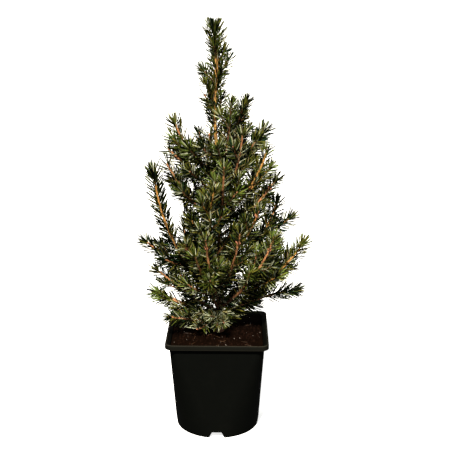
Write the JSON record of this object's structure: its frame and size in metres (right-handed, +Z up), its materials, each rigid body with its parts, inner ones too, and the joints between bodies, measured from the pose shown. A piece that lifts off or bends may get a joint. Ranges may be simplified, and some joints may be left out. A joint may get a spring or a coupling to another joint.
{
  "type": "potted young spruce",
  "caption": "Young spruce with an open, upswept crown of needle-clad boughs round a slender leader, standing in peat in a plastic nursery pot with a square rim and a round foot.",
  "frame": {"origin": "middle of the pot's flat underside", "axes": "+Z up along the trunk, -Y towards the viewer of the picture, +X to the viewer's right"},
  "size_m": [0.249, 0.1831, 0.6125],
  "materials": {
    "pot": "near-black moulded plastic with a soft sheen",
    "peat": "dark red-brown moist peat with a few pale specks",
    "bark": "rough bark, orange-brown on young wood and dark red-brown on the low trunk",
    "foliage": "stiff dark olive needles, yellow-green at the shoot tips, on orange-brown twigs"
  },
  "bodies": {
    "root": {"pot": "pot", "peat": "peat", "trunk": "bark", "bough_left_tall": "bark", "bough_left_fork": "bark", "bough_left_low": "bark", "bough_left_flat": "bark", "bough_left_upper": "bark", "bough_right_long": "bark", "bough_right_flat": "bark", "bough_right_fork": "bark", "bough_right_upper": "bark", "bough_right_high": "bark", "bough_front_left": "bark", "bough_front_mid": "bark", "bough_front_right": "bark", "bough_front_right_long": "bark", "bough_back_right": "bark", "bough_back_low": "bark", "bough_back_left": "bark", "foliage_leader": "foliage", "foliage_left_tall": "foliage", "foliage_left_fork": "foliage", "foliage_left_low": "foliage", "foliage_left_flat": "foliage", "foliage_left_upper": "foliage", "foliage_right_long": "foliage", "foliage_right_flat": "foliage", "foliage_right_fork": "foliage", "foliage_right_upper": "foliage", "foliage_right_high": "foliage", "foliage_front_left": "foliage", "foliage_front_mid": "foliage", "foliage_front_right": "foliage", "foliage_front_right_long": "foliage", "foliage_back_right": "foliage", "foliage_back_low": "foliage", "foliage_back_left": "foliage", "foliage_left_front_low": "foliage", "foliage_left_high": "foliage", "foliage_left_top": "foliage", "foliage_left_back_high": "foliage", "foliage_left_back_mid": "foliage", "foliage_left_front_mid": "foliage", "foliage_front_skirt": "foliage", "foliage_front_centre": "foliage", "foliage_front_upper": "foliage", "foliage_front_high": "foliage", "foliage_front_tall": "foliage", "foliage_front_right_mid": "foliage", "foliage_front_right_high": "foliage", "foliage_right_top": "foliage", "foliage_right_crown": "foliage", "foliage_back_right_low": "foliage", "foliage_back_right_mid": "foliage", "foliage_back_left_low": "foliage", "foliage_back_left_mid": "foliage", "foliage_back_mid": "foliage", "foliage_back_high": "foliage", "foliage_back_crown": "foliage"}
  },
  "joints": []
}
